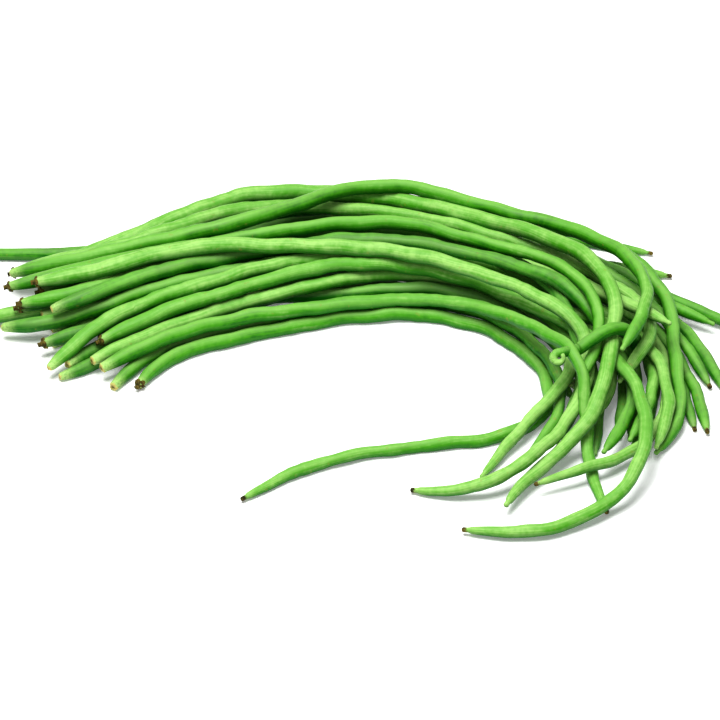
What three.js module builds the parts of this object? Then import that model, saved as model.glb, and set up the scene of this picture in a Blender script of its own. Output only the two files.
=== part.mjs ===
// A bunch of yardlong beans, lying on a table as it was put down.
//
// The cut stem ends are together on the left. The pods run to the right in one arched heap, turn towards
// the viewer at a throat where one slim pod is wound round them as a tie, and fan out to their tips.
// Each pod is one solid: a dry stalk stub, a round shoulder, a long body and a tapered tip with a nib.
//
// Millimetres, +Z up. The table is z = 0, and the origin is under the middle of the bunch.
// Seen from the front (looking along +Y) the stem ends are at -X.

import * as THREE from "three";

// Driving dimensions of a pod. Its radius is full behind the shoulder and slims evenly towards the taper.
const POD_RADIUS = 4.25;
const POD_RADIUS_SPREAD = 0.25;
const HIDDEN_SHARE = 0.95;
const FAR_LEFT_SHARE = 0.8;
const SLIMMING = 0.2;
const STALK_LENGTH = 3;
const STALK_SHARE = 0.46;
const SHOULDER_LENGTH = 24;
const LONG_TAPER = 28;
const SHORT_TAPER = 12;
const TAPER_POWER = 0.6;
const TIP_SHARE = 0.5;
const NIB_LENGTH = 4;
// The pods whose tips reach out over the table are drawn out long and slim. The others end bluntly.
const LONG_TIPS = [
  "bean_front_inner", "bean_front_floor", "bean_front_third", "bean_front_ridge", "bean_long_hook",
  "bean_pale_top", "bean_outline_high", "bean_under_hook", "tie_bean",
];

// The six-sided rings of a pod, and the gap that is kept between two pods.
const POD_SIDES = 6;
const RING_STEP = 14;
const LEAST_RING_STEP = 3;
const FIRST_RING = 0.01;
const LAST_RING = 0.6;
const AIR_GAP = 0.36;
// An underside this close to the table is pressed flat on it, as a soft pod's is.
const PRESSED = 0.25;

// The tie: a slim pod, wound nearly once round the throat. Its tip comes over the top from the right and
// ends on the left, and its stalk end is tucked in low on the left.
const TIE_RADIUS = 3.9;
const TIE_STEP = 8;
const TIE_HALF_WIDTH = 22;
const TIE_HALF_HEIGHT = 17.5;
const TIE_END = Math.PI * 0.76;
const TIE_TURNS = 0.76;
const TIE_PITCH = 5;
const TIE_CENTRE = new THREE.Vector3(128.5, -37, 22.3);
const TIE_POINTS = 40;
const TIE_ACROSS = new THREE.Vector3(0.88, 0.47, 0).normalize();

// How the bunch is drawn in the picture: its scale, its tilt, and the row where y = 0 meets the table.
const MM_PER_PIXEL = 0.55;
const CAMERA_TILT = THREE.MathUtils.degToRad(38);
const MIDDLE_COLUMN = 360;
const TABLE_ROW = 350;
const SIGHT = new THREE.Vector3(0, Math.cos(CAMERA_TILT), -Math.sin(CAMERA_TILT));
const DOWN = new THREE.Vector3(0, 0, -1);
const UP = new THREE.Vector3(0, 0, 1);

// The pods that show, each by the line that it draws, stem first: column, row, and mm over the table.
const SHOWN = {
  front_inner: [
    [143, 383, 5], [153, 368, 5], [170, 354, 5], [200, 343, 5], [250, 333, 5], [300, 323, 5],
    [360, 314, 5], [420, 311, 5], [460, 316, 4], [497, 329, 4], [532, 350, 4], [552, 376, 4],
    [549, 405, 4], [534, 419, 4], [512, 429, 4], [478, 436, 4], [430, 440, 4],
    [370, 448, 5], [308, 464, 5], [250, 494, 4],
  ],
  front_floor: [
    [118, 388, 5], [128, 374, 5], [148, 359, 6], [175, 346, 6], [200, 336, 6], [250, 325, 6],
    [300, 316, 6], [350, 308, 6], [400, 303, 6], [440, 305, 6], [480, 314, 6], [512, 328, 7],
    [540, 349, 9], [560, 376, 9], [563, 400, 8], [554, 422, 6], [540, 440, 5], [524, 455, 4],
  ],
  front_ridge: [
    [101, 364, 8], [120, 354, 10], [140, 343, 11], [180, 327, 12], [220, 318, 12], [260, 314, 12],
    [300, 309, 12], [340, 304, 12], [400, 301, 11], [440, 303, 12], [470, 307, 14], [500, 315, 18],
    [530, 330, 24], [553, 343, 32], [570, 351, 37], [582, 361, 36], [587, 377, 31], [585, 396, 22],
    [583, 412, 14], [584, 430, 8], [586, 450, 5], [588, 468, 4], [594, 485, 4], [603, 503, 4],
  ],
  front_third: [
    [93, 362, 9], [110, 352, 10], [140, 338, 12], [160, 331, 13], [200, 315, 16], [240, 302, 18],
    [300, 291, 20], [340, 285, 21], [370, 278, 22], [400, 273, 23], [440, 273, 23], [480, 280, 22],
    [520, 291, 21], [550, 306, 21], [571, 328, 20], [581, 352, 19], [577, 376, 18], [562, 395, 16],
    [543, 411, 14], [524, 430, 10], [508, 449, 6], [495, 465, 4], [484, 477, 4],
  ],
  long_hook: [
    [98, 341, 13], [112, 332, 15], [140, 324, 17], [180, 308, 19], [220, 296, 21], [260, 284, 23],
    [300, 270, 26], [340, 262, 27], [380, 260, 26], [430, 266, 24], [480, 284, 22], [525, 304, 20],
    [565, 328, 20], [592, 349, 20], [611, 367, 20], [628, 382, 18], [640, 404, 18], [644, 428, 18],
    [638, 456, 16], [627, 481, 12], [606, 502, 6], [578, 516, 5], [545, 526, 5], [505, 528, 5],
    [463, 524, 4],
  ],
  pale_low_end: [
    [52, 375, 6], [75, 353, 11], [100, 332, 15], [120, 316, 18], [150, 304, 21], [180, 292, 23],
    [220, 279, 26], [250, 270, 28], [280, 262, 29], [320, 259, 28], [370, 256, 28], [420, 261, 26],
    [470, 270, 26], [520, 290, 26], [565, 312, 26], [605, 328, 24], [632, 338, 22], [650, 354, 18],
    [661, 380, 14], [664, 408, 10], [659, 433, 7], [648, 455, 5],
  ],
  under_low_end: [
    [54, 341, 13], [80, 328, 17], [100, 317, 20], [130, 303, 23], [160, 292, 24], [200, 279, 26],
    [240, 269, 28], [280, 262, 26], [340, 258, 22], [400, 264, 19], [460, 280, 17], [520, 302, 15],
    [560, 325, 15], [592, 347, 17], [613, 366, 17], [621, 382, 16], [613, 401, 14], [602, 418, 11],
  ],
  left_reacher: [
    [2, 326, 14], [40, 324, 17], [70, 317, 20], [100, 307, 23], [130, 295, 26], [160, 283, 28],
    [200, 272, 30], [240, 263, 31], [280, 258, 28], [340, 252, 26], [400, 256, 24], [460, 268, 22],
    [520, 284, 19], [565, 303, 17], [608, 322, 12], [638, 345, 9], [649, 372, 8], [644, 400, 7],
    [633, 428, 5], [616, 456, 4],
  ],
  brown_stub: [
    [12, 306, 19], [40, 304, 22], [60, 299, 24], [80, 293, 26], [100, 287, 28], [130, 277, 30],
    [160, 269, 31], [190, 262, 31], [240, 256, 30], [300, 254, 27], [360, 252, 25], [420, 258, 24],
    [480, 274, 21], [535, 291, 20], [580, 309, 19], [620, 325, 17], [649, 345, 15], [659, 372, 12],
    [655, 400, 10], [645, 428, 7], [630, 450, 5],
  ],
  blunt_end: [
    [50, 311, 26], [70, 305, 28], [90, 297, 30], [115, 286, 31], [140, 277, 31], [165, 270, 31],
    [200, 264, 30], [250, 257, 29], [300, 247, 30], [350, 243, 30], [400, 246, 30], [450, 256, 30],
    [500, 272, 29], [545, 292, 28], [580, 314, 27], [604, 338, 24], [620, 362, 20], [628, 392, 15],
    [622, 422, 10], [608, 448, 7], [594, 470, 5],
  ],
  pale_top: [
    [30, 285, 30], [60, 281, 31], [100, 273, 33], [140, 262, 35], [180, 253, 36], [220, 250, 37],
    [260, 250, 37], [300, 250, 37], [340, 250, 37], [380, 253, 36], [420, 259, 36], [460, 270, 36],
    [500, 286, 36], [540, 305, 36], [565, 322, 35], [581, 335, 31], [591, 349, 24], [591, 366, 18],
    [584, 386, 14], [574, 405, 14], [561, 427, 15], [543, 446, 15], [520, 463, 15], [493, 477, 12],
    [470, 486, 8], [448, 490, 5], [432, 490, 4], [416, 485, 4],
  ],
  shoulder_row: [
    [3, 290, 26], [40, 283, 29], [80, 271, 33], [120, 259, 36], [160, 249, 38], [200, 241, 39],
    [240, 236, 39], [270, 229, 40], [300, 223, 41], [340, 220, 41], [380, 219, 41], [420, 223, 40],
    [460, 237, 38], [500, 250, 37], [540, 262, 36], [562, 274, 35], [581, 291, 34], [595, 309, 33],
    [603, 326, 30], [604, 344, 26], [600, 362, 22], [592, 380, 17], [581, 396, 12],
  ],
  crossing: [
    [12, 279, 22], [50, 272, 27], [100, 263, 32], [150, 249, 37], [200, 238, 40], [240, 228, 42],
    [270, 218, 43], [300, 208, 42], [325, 197, 40], [347, 189, 38], [370, 186, 37], [400, 186, 36],
    [430, 191, 36], [460, 200, 36], [500, 212, 34], [540, 220, 33], [570, 228, 33], [600, 240, 35],
    [625, 253, 36], [642, 271, 37], [648, 292, 38], [644, 312, 40], [635, 329, 41], [626, 342, 39],
    [619, 351, 36],
  ],
  diving: [
    [5, 277, 20], [30, 270, 23], [60, 263, 26], [100, 256, 30], [130, 247, 33], [160, 238, 35],
    [190, 226, 36], [225, 213, 36], [257, 207, 34], [300, 206, 31], [340, 208, 30], [380, 212, 30],
    [420, 216, 31], [460, 223, 35], [500, 235, 33], [540, 247, 31], [572, 260, 30], [600, 278, 29],
    [624, 296, 28], [640, 311, 28], [647, 327, 27],
    [641, 343, 26], [630, 357, 23], [616, 370, 19], [602, 386, 13],
  ],
  outline_high: [
    [62, 262, 20], [95, 253, 24], [120, 242, 26], [150, 228, 28], [180, 214, 29], [220, 199, 30],
    [260, 190, 29], [290, 188, 29], [320, 189, 28], [350, 193, 28], [380, 196, 28], [420, 203, 29],
    [460, 213, 31], [500, 224, 33], [540, 236, 36], [570, 247, 39], [597, 262, 41], [614, 284, 41],
    [621, 306, 38], [620, 324, 33], [613, 342, 29], [608, 360, 27], [606, 378, 25], [600, 398, 22],
    [589, 420, 16], [575, 439, 10], [560, 451, 6], [545, 462, 4], [528, 474, 4], [513, 486, 4],
    [504, 503, 4],
  ],
  far_left: [
    [-52, 258, 10], [0, 256, 12], [60, 255, 14], [95, 251, 16], [130, 243, 18], [160, 233, 19],
    [190, 222, 20], [225, 210, 20], [260, 203, 19], [300, 201, 16], [340, 200, 13], [380, 198, 11],
    [430, 202, 9], [480, 212, 7], [530, 227, 6], [580, 243, 5], [625, 251, 4], [657, 256, 4],
  ],
  right_outer: [
    [30, 296, 22], [80, 280, 22], [130, 262, 24], [180, 240, 26], [230, 222, 27], [280, 208, 28],
    [330, 202, 26], [380, 200, 26], [430, 203, 27], [480, 208, 27], [530, 217, 27], [580, 231, 27],
    [620, 247, 27], [648, 268, 26], [664, 292, 25], [673, 320, 22], [674, 345, 18], [669, 368, 15],
    [675, 388, 11], [680, 412, 8], [675, 436, 5], [662, 450, 4], [651, 459, 4],
  ],
  dark_row: [
    [15, 318, 18], [60, 308, 20], [120, 285, 24], [180, 262, 27], [240, 248, 29], [300, 238, 32],
    [340, 233, 33], [380, 231, 33], [420, 235, 32], [460, 249, 31], [500, 262, 30], [540, 276, 29],
    [566, 292, 28], [578, 312, 27], [583, 330, 26], [592, 352, 22], [602, 380, 15], [605, 405, 9],
    [602, 430, 5], [598, 456, 4],
  ],
  dark_low: [
    [38, 354, 7], [66, 345, 8], [120, 331, 9], [180, 316, 9], [240, 306, 10], [300, 299, 12],
    [345, 294, 13], [400, 290, 15], [440, 290, 13], [480, 302, 10], [515, 317, 9], [546, 338, 10],
    [568, 362, 11], [574, 384, 11], [568, 406, 9], [557, 427, 7], [545, 446, 4],
  ],
};

// The pods inside and behind the heap. Each keeps to a lane: mm behind the heap's middle line and mm over
// the table, from `start` to `end` in spans of that line. Before it (head) and after it (tail) it takes its
// own way, given as the shown pods' lines are.
const LANES = {
  back_nib: {
    lane: [32, 5], start: 2.2,
    tail: [[600, 258, 8], [628, 271, 7], [648, 277, 6], [660, 270, 5]],
  },
  right_edge_dark: {
    lane: [45, 13], start: 1.5,
    tail: [[590, 258, 16], [630, 280, 17], [672, 298, 14], [705, 310, 8], [735, 322, 5], [752, 330, 4]],
  },
  right_edge_pale: {
    lane: [27, 13], start: 1.1,
    tail: [[590, 268, 20], [635, 289, 20], [672, 303, 17], [707, 319, 12]],
  },
  right_tip_a: {
    lane: [25, 5], start: 0.8,
    tail: [[610, 265, 10], [655, 284, 9], [687, 309, 6], [704, 335, 5], [713, 360, 4], [716, 384, 4]],
  },
  right_tip_b: {
    lane: [22, 21], start: 0.7,
    tail: [[610, 262, 20], [648, 283, 18], [673, 305, 15], [688, 330, 11], [696, 355, 7], [702, 381, 4]],
  },
  right_tip_c: {
    lane: [15, 5], start: 0.9,
    tail: [
      [600, 278, 6], [643, 303, 5], [670, 331, 5], [685, 358, 5], [695, 384, 4], [699, 405, 4],
      [694, 424, 4],
    ],
  },
  right_tip_d: {
    lane: [16, 13], start: 0.5,
    tail: [
      [595, 280, 14], [638, 305, 13], [657, 332, 12], [670, 358, 10], [680, 380, 8], [685, 402, 5],
      [680, 423, 4],
    ],
  },
  under_hook: {
    lane: [5, 13], start: 0.55,
    tail: [
      [590, 290, 14], [635, 320, 13], [664, 355, 11], [671, 390, 8], [668, 420, 6], [655, 444, 5],
      [636, 456, 5], [618, 459, 6], [603, 461, 9], [588, 462, 12], [572, 465, 8], [556, 468, 4],
      [544, 473, 4],
    ],
  },
  blunt_right: {
    lane: [11, 21], start: 0.0,
    tail: [[580, 282, 26], [612, 298, 29], [638, 312, 33], [665, 325, 34]],
  },
  inner_right: {
    lane: [5, 5], start: 0.6,
    tail: [[600, 300, 7], [632, 326, 12], [646, 350, 16], [646, 373, 14], [640, 400, 8], [631, 426, 4]],
  },
  inner_middle: {
    head: [[88, 356, 8], [106, 349, 9], [126, 343, 9]], lane: [-5, 5], start: 1.3,
    tail: [[594, 308, 9], [622, 328, 11], [634, 348, 12], [629, 370, 9], [618, 396, 6], [610, 424, 4]],
  },
  inner_front: {
    head: [[80, 368, 4], [102, 368, 4], [127, 363, 5], [152, 355, 5]], lane: [-18, 5], start: 1.5, end: 4.4,
    tail: [[490, 311, 4], [520, 325, 4], [543, 343, 4], [561, 366, 4], [571, 392, 4]],
  },
};

// The heap's middle line on the table, x and y in mm, from the stem ends to the turn.
const MIDDLE_LINE = [[-205, 6], [-143, 22], [-90, 44], [-33, 66], [22, 76], [66, 66], [100, 40]];

// These pods arch stiffly over the heap, and weight doesn't draw them down.
const ARCHED = ["bean_crossing", "bean_outline_high"];

// Points on a lane stand this share of a middle line's span apart. A lane's corners are smoothed more
// often than those of a line that is drawn through.
const LANE_STEP = 0.6;
const LANE_SMOOTHING = 16;
const DRAWN_SMOOTHING = 2;
const CURVE_DIVISIONS = 400;

// How the heap is settled. A pod keeps to its drawn route, to its bend and to its steps, and weight draws
// it down, while it grows to its full thickness. The first part of a lane is held loosely, the tie firmly.
const PASSES = 700;
const ROUTE_PULL = 0.14;
const PULL_FADE = 0.6;
const LOOSE_PART = 0.66;
const LOOSE_HOLD = 0.35;
const TIE_HOLD = 3;
const BEND_SHARE = 0.12;
const WEIGHT_STEP = 0.07;
const START_FATNESS = 0.55;
const FATTENING = 1.2;

// Then weight and route fade out, and the pods move only until they are clear of each other.
const EASING_PASSES = 160;
const MOST_FREE_PASSES = 480;
const FREE_PULL = 0.02;
const FREE_WEIGHT = 0.028;
const GAP_ENOUGH = 0.8;

// Which parts are looked at for touching: near ones, found again after some passes. A pod's own parts
// count from so many radii apart.
const NEAR_MARGIN = 5;
const PAIRS_EVERY = 11;
const OWN_APART = 5;
const SMALL = 1e-4;

// A small seeded generator, so that the bunch is the same each time.
function seeded(seed) {
  let state = seed;
  return () => {
    state = (Math.imul(state, 1664525) + 1013904223) >>> 0;
    return state / 4294967296;
  };
}
const draw = seeded(20);

// A point of the picture at a height over the table.
function fromPicture([column, row, height]) {
  const x = (column - MIDDLE_COLUMN) * MM_PER_PIXEL;
  const rise = (TABLE_ROW - row) * MM_PER_PIXEL - height * Math.cos(CAMERA_TILT);
  return new THREE.Vector3(x, rise / Math.sin(CAMERA_TILT), height);
}

// Points on a lane: beside the middle line by `across`, at one height, from `start` to the line's end.
function lanePoints([across, height], start, end) {
  const line = new THREE.CatmullRomCurve3(MIDDLE_LINE.map(([x, y]) => new THREE.Vector3(x, y, 0)));
  const count = MIDDLE_LINE.length - 1;
  const points = [];
  for (let t = start; t <= Math.min(end, count); t += LANE_STEP) {
    const along = line.getTangent(t / count);
    const behind = new THREE.Vector3(-along.y, along.x, 0);
    points.push(line.getPoint(t / count).addScaledVector(behind, across).setZ(height));
  }
  return points;
}

// A pod's radius at a distance from its stem end: stalk, shoulder, slimming body, taper and nib.
function podRadius(distance, length, full, taperLength) {
  const body = full * (1 - (SLIMMING * distance) / length);
  const shoulder = THREE.MathUtils.smoothstep(distance, STALK_LENGTH / 2, SHOULDER_LENGTH);
  const fromStem = STALK_SHARE + (1 - STALK_SHARE) * Math.sqrt(shoulder);
  const taper = THREE.MathUtils.clamp((length - distance - NIB_LENGTH) / taperLength, 0, 1);
  const toTip = TIP_SHARE + (1 - TIP_SHARE) * Math.pow(taper, TAPER_POWER);
  return body * Math.min(fromStem, toTip);
}

// A rod is a chain of points with equal steps, that knows where it should lie and which way it may slip.
function makeRod(name, points, full, slip, reference) {
  const curve = new THREE.CatmullRomCurve3(points, false, "centripetal");
  curve.arcLengthDivisions = CURVE_DIVISIONS;
  const length = curve.getLength();
  const step = slip ? RING_STEP : TIE_STEP;
  const count = Math.round(length / step);
  const at = curve.getSpacedPoints(count);
  const smoothing = slip === DOWN ? LANE_SMOOTHING : DRAWN_SMOOTHING;
  for (let pass = 0; pass < smoothing; pass++) {
    for (let i = 1; i < count; i++) at[i].lerp(at[i - 1].clone().lerp(at[i + 1], 0.5), 0.5);
  }
  const hold = (i) => {
    if (!slip) return TIE_HOLD;
    return slip === DOWN && i < count * LOOSE_PART ? LOOSE_HOLD : 1;
  };
  const taperLength = LONG_TIPS.includes(name) ? LONG_TAPER : SHORT_TAPER;
  return {
    name,
    full,
    length,
    taperLength,
    reference,
    slip,
    holds: at.map((_, i) => hold(i)),
    step: length / count,
    points: at,
    route: at.map((p) => p.clone()),
    radii: at.map((_, i) => podRadius((i * length) / count, length, full, taperLength)),
  };
}

function podRods() {
  const radius = () => POD_RADIUS + (draw() * 2 - 1) * POD_RADIUS_SPREAD;
  const shown = Object.entries(SHOWN).map(([name, line]) => {
    const full = name === "far_left" ? POD_RADIUS * FAR_LEFT_SHARE : radius();
    return makeRod(`bean_${name}`, line.map(fromPicture), full, SIGHT, UP);
  });
  const laid = Object.entries(LANES).map(([name, { head = [], lane, start, end = Infinity, tail }]) => {
    const points = [...head.map(fromPicture), ...lanePoints(lane, start, end), ...tail.map(fromPicture)];
    return makeRod(`bean_${name}`, points, radius() * HIDDEN_SHARE, DOWN, UP);
  });
  return [...shown, ...laid];
}

// The tie runs round the throat as a flat helix: from its stalk end on the left under the pods, up on
// the right, and over the top to its tip.
function tieRod() {
  const forward = new THREE.Vector3().crossVectors(TIE_ACROSS, UP);
  const points = [];
  for (let i = 0; i <= TIE_POINTS; i++) {
    const share = i / TIE_POINTS;
    const angle = TIE_END - 2 * Math.PI * TIE_TURNS * (1 - share);
    points.push(
      TIE_CENTRE.clone()
        .addScaledVector(TIE_ACROSS, TIE_HALF_WIDTH * Math.cos(angle))
        .addScaledVector(UP, TIE_HALF_HEIGHT * Math.sin(angle))
        .addScaledVector(forward, TIE_PITCH * (share - 0.5) * TIE_TURNS),
    );
  }
  return makeRod("tie_bean", points, TIE_RADIUS, null, forward);
}

// Closest points of two segments, as shares along each.
function closestShares(a, b, c, d) {
  const u = b.clone().sub(a);
  const v = d.clone().sub(c);
  const w = a.clone().sub(c);
  const uu = u.dot(u);
  const uv = u.dot(v);
  const vv = v.dot(v);
  const uw = u.dot(w);
  const vw = v.dot(w);
  const wide = uu * vv - uv * uv;
  const clamp = (x) => Math.min(1, Math.max(0, x));
  let s = wide > SMALL * SMALL ? clamp((uv * vw - vv * uw) / wide) : 0.5;
  let t = (uv * s + vw) / vv;
  if (t < 0 || t > 1) {
    t = clamp(t);
    s = clamp((uv * t - uw) / uu);
  }
  return [s, t];
}

// Pairs of segments that are near enough to touch soon. A rod's own neighbours are left out.
function nearPairs(rods) {
  const all = rods.flatMap((rod) => rod.points.slice(1).map((_, i) => ({ rod, i })));
  all.forEach((seg) => {
    seg.middle = seg.rod.points[seg.i].clone().lerp(seg.rod.points[seg.i + 1], 0.5);
  });
  const pairs = [];
  all.forEach((one, k) => {
    for (const two of all.slice(k + 1)) {
      const reach = (one.rod.step + two.rod.step) / 2 + one.rod.full + two.rod.full + NEAR_MARGIN;
      const own = one.rod === two.rod && Math.abs(one.i - two.i) * one.rod.step < OWN_APART * one.rod.full;
      if (own) continue;
      if (one.middle.distanceToSquared(two.middle) < reach * reach) pairs.push([one, two]);
    }
  });
  return pairs;
}

// Pushes two segments apart where they are closer than their radii and the gap. Gives the gap found.
function pushApart([one, two], fatness, gap) {
  const [a, b] = [one.rod.points[one.i], one.rod.points[one.i + 1]];
  const [c, d] = [two.rod.points[two.i], two.rod.points[two.i + 1]];
  const [s, t] = closestShares(a, b, c, d);
  const normal = a.clone().lerp(b, s).sub(c.clone().lerp(d, t));
  const apart = normal.length();
  const radiusOne = THREE.MathUtils.lerp(one.rod.radii[one.i], one.rod.radii[one.i + 1], s);
  const radiusTwo = THREE.MathUtils.lerp(two.rod.radii[two.i], two.rod.radii[two.i + 1], t);
  const wanted = (radiusOne + radiusTwo) * fatness + gap;
  if (apart < wanted) {
    if (apart < SMALL) normal.set(0, 0, 1);
    else normal.divideScalar(apart);
    const weight = (1 - s) ** 2 + s ** 2 + (1 - t) ** 2 + t ** 2;
    const push = (wanted - apart) / weight;
    a.addScaledVector(normal, push * (1 - s));
    b.addScaledVector(normal, push * s);
    c.addScaledVector(normal, -push * (1 - t));
    d.addScaledVector(normal, -push * t);
  }
  return apart - radiusOne - radiusTwo;
}

// Height of a pod's middle where it rests: its flat underside is at the table.
function restHeight(radius) {
  return radius * Math.cos(Math.PI / POD_SIDES);
}

// One pass: weight and route, then bend, steps, touching pods and the table. Gives the smallest gap.
function onePass(rods, pairs, pull, weight, fatness, gap) {
  for (const rod of rods) {
    rod.points.forEach((p, i) => {
      const back = rod.route[i].clone().sub(p);
      if (rod.slip) back.addScaledVector(rod.slip, -back.dot(rod.slip));
      p.addScaledVector(back, pull * rod.holds[i]);
      if (rod.slip && !ARCHED.includes(rod.name)) p.z -= weight;
    });
    const shift = rod.points.map((p, i) => p.clone().sub(rod.route[i]));
    for (let i = 0; i < rod.points.length; i++) {
      const before = shift[Math.max(0, i - 1)];
      const after = shift[Math.min(shift.length - 1, i + 1)];
      rod.points[i].addScaledVector(before.clone().lerp(after, 0.5).sub(shift[i]), BEND_SHARE);
    }
    for (let i = 1; i < rod.points.length; i++) {
      const [p, q] = [rod.points[i - 1], rod.points[i]];
      const span = q.clone().sub(p);
      const slack = (span.length() - rod.step) / span.length() / 2;
      p.addScaledVector(span, slack);
      q.addScaledVector(span, -slack);
    }
  }
  let least = Infinity;
  for (const pair of pairs) least = Math.min(least, pushApart(pair, fatness, gap));
  for (const rod of rods)
    rod.points.forEach((p, i) => {
      p.z = Math.max(p.z, restHeight(rod.radii[i]));
    });
  return least;
}

// Lets the pods come to rest on each other and on the table, then frees what still touches.
function settle(rods) {
  let pairs = [];
  let least = 0;
  for (let pass = 0; pass < PASSES; pass++) {
    if (pass % PAIRS_EVERY === 0) pairs = nearPairs(rods);
    const share = pass / PASSES;
    const fatness = Math.min(1, START_FATNESS + share * FATTENING);
    onePass(rods, pairs, ROUTE_PULL * (1 - PULL_FADE * share), WEIGHT_STEP, fatness, AIR_GAP);
  }
  for (let pass = 0; pass < MOST_FREE_PASSES; pass++) {
    if (pass % PAIRS_EVERY === 0) pairs = nearPairs(rods);
    const easing = Math.max(0, 1 - pass / EASING_PASSES);
    least = onePass(rods, pairs, FREE_PULL * easing, FREE_WEIGHT * easing, 1, AIR_GAP);
    if (pass > EASING_PASSES && least > AIR_GAP * GAP_ENOUGH) break;
  }
  return least;
}

// Distances from the stem end where a pod gets a ring: its rod's points, and more at the two ends.
function ringPlaces(rod) {
  const count = rod.points.length - 1;
  const inner = rod.points.map((_, i) => i * rod.step).slice(1, count);
  const fromStem = [FIRST_RING, STALK_LENGTH, SHOULDER_LENGTH / 3, (SHOULDER_LENGTH * 2) / 3];
  const fromTip = [NIB_LENGTH * 3, NIB_LENGTH, LAST_RING];
  const ends = [...fromStem, ...fromTip.map((left) => rod.length - left)];
  const clear = inner.filter((place) => ends.every((end) => Math.abs(place - end) > LEAST_RING_STEP));
  return [...clear, ...ends].sort((p, q) => p - q);
}

// The frame of a rod at a distance along it: centre, side and top directions.
function frameAt(rod, distance) {
  const place = Math.min(rod.points.length - 1 - SMALL, distance / rod.step);
  const i = Math.floor(place);
  const centre = rod.points[i].clone().lerp(rod.points[i + 1], place - i);
  const near = Math.round(place);
  const onPoint = Math.abs(place - near) < SMALL && near > 0 && near < rod.points.length - 1;
  const [before, after] = onPoint ? [near - 1, near + 1] : [i, i + 1];
  const [from, to] = [rod.points[before], rod.points[after]];
  const along = to.clone().sub(from).normalize();
  const side = new THREE.Vector3().crossVectors(along, rod.reference).normalize();
  return { centre, side, top: new THREE.Vector3().crossVectors(side, along) };
}

// A closed tube round the rod: one middle point at each end, and rings between them.
function podGeometry(rod) {
  const places = ringPlaces(rod);
  const positions = [];
  const index = [];
  const add = (p) => positions.push(p.x, p.y, p.z < PRESSED ? 0 : p.z);
  add(rod.points[0]);
  for (const place of places) {
    const { centre, side, top } = frameAt(rod, place);
    const radius = podRadius(place, rod.length, rod.full, rod.taperLength);
    for (let k = 0; k < POD_SIDES; k++) {
      const angle = (k / POD_SIDES) * Math.PI * 2;
      add(
        centre
          .clone()
          .addScaledVector(side, radius * Math.cos(angle))
          .addScaledVector(top, radius * Math.sin(angle)),
      );
    }
  }
  add(rod.points[rod.points.length - 1]);
  const ring = (r, k) => 1 + r * POD_SIDES + (k % POD_SIDES);
  const last = places.length - 1;
  for (let k = 0; k < POD_SIDES; k++) {
    index.push(0, ring(0, k), ring(0, k + 1));
    for (let r = 0; r < last; r++) {
      index.push(ring(r, k), ring(r + 1, k), ring(r, k + 1));
      index.push(ring(r, k + 1), ring(r + 1, k), ring(r + 1, k + 1));
    }
    index.push(positions.length / 3 - 1, ring(last, k + 1), ring(last, k));
  }
  const geometry = new THREE.BufferGeometry();
  geometry.setAttribute("position", new THREE.Float32BufferAttribute(positions, 3));
  geometry.setIndex(index);
  geometry.computeVertexNormals();
  return geometry;
}

const podGreen = new THREE.MeshStandardMaterial({ color: "#5fae35", roughness: 0.45, metalness: 0 });
const tieGreen = new THREE.MeshStandardMaterial({ color: "#4f9c2c", roughness: 0.5, metalness: 0 });

const rods = [...podRods(), tieRod()];
settle(rods);

const bunch = new THREE.Group();
for (const rod of rods) {
  const pod = new THREE.Mesh(podGeometry(rod), rod.name === "tie_bean" ? tieGreen : podGreen);
  pod.name = rod.name;
  bunch.add(pod);
}

// The origin goes under the middle of the bunch.
const middle = new THREE.Box3().setFromObject(bunch).getCenter(new THREE.Vector3());
for (const pod of bunch.children) pod.geometry.translate(-middle.x, -middle.y, 0);

export default bunch;
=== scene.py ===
# %% [markdown]
# # A bunch of yardlong beans
#
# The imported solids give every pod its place, its bends and its thickness. Here each pod gets its
# skin: a finely swept surface with seed bulges, two seams, a stalk end and a tip, and a material
# that follows the pod from its pale neck to its nib.

import math

import bpy
import numpy as np
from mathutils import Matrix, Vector


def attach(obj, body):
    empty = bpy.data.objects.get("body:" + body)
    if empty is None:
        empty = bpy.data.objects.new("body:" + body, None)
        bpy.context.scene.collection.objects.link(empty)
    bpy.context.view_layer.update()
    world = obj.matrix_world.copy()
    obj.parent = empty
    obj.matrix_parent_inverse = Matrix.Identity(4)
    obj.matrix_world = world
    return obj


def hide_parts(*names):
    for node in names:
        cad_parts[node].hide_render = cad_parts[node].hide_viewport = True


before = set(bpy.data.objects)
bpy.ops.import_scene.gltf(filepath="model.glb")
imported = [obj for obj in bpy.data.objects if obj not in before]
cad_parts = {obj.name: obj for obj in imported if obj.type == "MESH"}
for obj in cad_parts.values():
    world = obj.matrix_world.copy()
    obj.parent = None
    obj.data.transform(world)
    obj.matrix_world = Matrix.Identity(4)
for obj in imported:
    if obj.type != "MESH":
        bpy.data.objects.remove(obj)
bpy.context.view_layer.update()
MM = 0.001

# %% [markdown]
# ## Where the pods lie
#
# A pod's solid is a plain six-sided tube with a point at each end. It could be traced again by
# hand, but then the skin would drift away from the solid, so its rings are read from the frame.
# From one end point every ring is one step further along the faces' edges, so counting steps
# sorts the corners into rings, and each ring's middle is a point of the pod's centre line.

# %% Corners and edges of a solid
SIDES = 6
# Corners that agree to a thousandth of a millimetre are one corner.
DIGITS_OF_A_METRE = 6


def joined_corners(node):
    """The corners of a node's solid without doubles, and the pairs of them that an edge joins."""
    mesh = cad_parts[node].data
    corners = np.empty(len(mesh.vertices) * 3, np.float32)
    mesh.vertices.foreach_get("co", corners)
    ends = np.empty(len(mesh.edges) * 2, np.int32)
    mesh.edges.foreach_get("vertices", ends)
    rounded = np.round(corners.reshape(-1, 3), DIGITS_OF_A_METRE)
    unique, to_unique = np.unique(rounded, axis=0, return_inverse=True)
    return unique.astype(float), to_unique.ravel()[ends.reshape(-1, 2)]


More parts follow.
